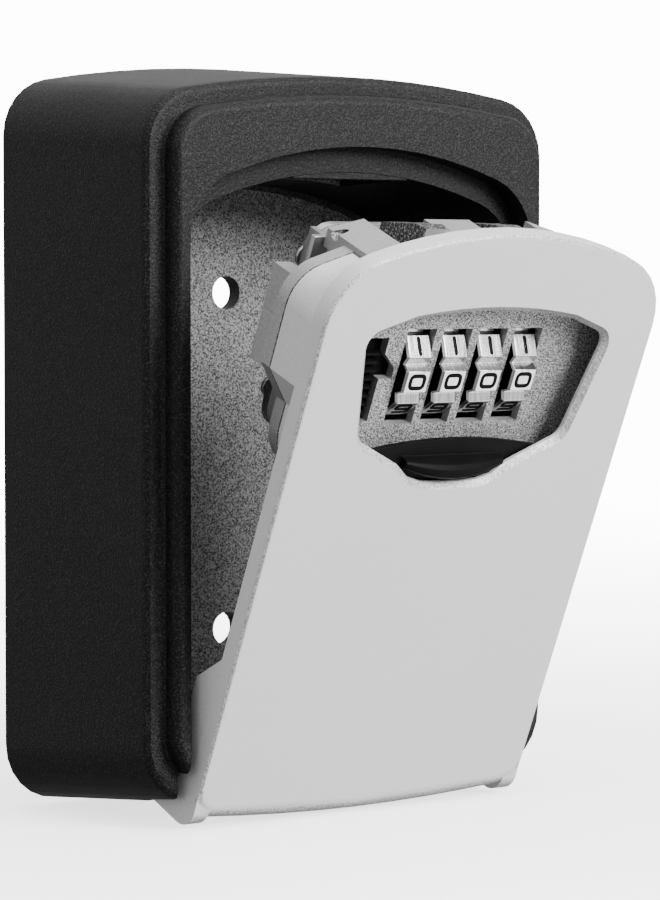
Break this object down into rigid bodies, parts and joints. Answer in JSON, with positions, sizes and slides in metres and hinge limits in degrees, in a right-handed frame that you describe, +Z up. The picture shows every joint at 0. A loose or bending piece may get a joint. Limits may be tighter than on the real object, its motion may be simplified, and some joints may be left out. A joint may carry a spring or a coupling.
{
  "type": "key lock box",
  "caption": "Wall key safe: a black cast box with a silver drop-down door, open, and a number-wheel lock with a sliding shutter.",
  "frame": {"origin": "centre of the box's back face, in the wall plane, 60 mm above the box's foot", "axes": "+X to the right as seen from the front, +Y back into the wall, +Z up"},
  "size_m": [0.085, 0.0782, 0.1202],
  "materials": {
    "black_coat": "fine textured black powder coat on die-cast zinc",
    "silver_paint": "smooth satin silver-grey paint",
    "silver_cast": "rough silver paint over the raw casting",
    "chrome": "polished plating with black numerals",
    "steel": "zinc plated",
    "cast_steel": "dark rough cast with a ground edge",
    "brass": "plain machined",
    "black_plastic": "moulded black"
  },
  "bodies": {
    "box": {"back_box": "black_coat", "hinge_pin_left": "steel", "hinge_pin_right": "steel"},
    "door": {"door_cover": "silver_paint", "lock_case": "silver_cast", "case_back": "steel", "dial_bracket": "steel", "dial_shaft": "steel", "detent_spring": "steel", "shutter_retainer": "steel", "key_hook": "steel", "latch_spring_left": "steel", "latch_spring_right": "steel", "retainer_screw_left": "steel", "retainer_screw_right": "steel", "case_screw_1": "steel", "case_screw_2": "steel", "case_screw_3": "steel", "case_screw_4": "steel"},
    "wheel_1": {"dial_wheel_1": "chrome", "code_cam_1": "brass"},
    "wheel_2": {"dial_wheel_2": "chrome", "code_cam_2": "brass"},
    "wheel_3": {"dial_wheel_3": "chrome", "code_cam_3": "brass"},
    "wheel_4": {"dial_wheel_4": "chrome", "code_cam_4": "brass"},
    "latch": {"latch_plate": "cast_steel", "thumb_slider": "black_plastic"},
    "shutter_slide": {"shutter": "black_plastic"},
    "reset": {"reset_lever": "steel"}
  },
  "joints": [
    {"name": "door_hinge", "type": "hinge", "parent": "box", "child": "door", "pos_m": [0, -0.0293, -0.0524], "axis": [1, 0, 0], "range_deg": [-23.5, 0]},
    {"name": "wheel_1_turn", "type": "hinge", "parent": "door", "child": "wheel_1", "pos_m": [-0.0098, -0.05735, 0.01261], "axis": [1, 0, 0], "continuous": true},
    {"name": "wheel_2_turn", "type": "hinge", "parent": "door", "child": "wheel_2", "pos_m": [-0.0027, -0.05735, 0.01261], "axis": [1, 0, 0], "continuous": true},
    {"name": "wheel_3_turn", "type": "hinge", "parent": "door", "child": "wheel_3", "pos_m": [0.0044, -0.05735, 0.01261], "axis": [1, 0, 0], "continuous": true},
    {"name": "wheel_4_turn", "type": "hinge", "parent": "door", "child": "wheel_4", "pos_m": [0.0115, -0.05735, 0.01261], "axis": [1, 0, 0], "continuous": true},
    {"name": "latch_travel", "type": "slide", "parent": "door", "child": "latch", "axis": [0, -0.3987, 0.9171], "range_m": [0, 0.0022], "stiffness_N_per_m": 60, "springref_m": 0.006, "deforming": ["latch_spring_left", "latch_spring_right"]},
    {"name": "shutter_travel", "type": "slide", "parent": "door", "child": "shutter_slide", "axis": [0, -0.3987, 0.9171], "range_m": [0, 0.0228]},
    {"name": "reset_turn", "type": "hinge", "parent": "door", "child": "reset", "pos_m": [0.008, -0.0498, 0.02636], "axis": [0, 0.9171, 0.3987], "range_deg": [0, 90]}
  ]
}
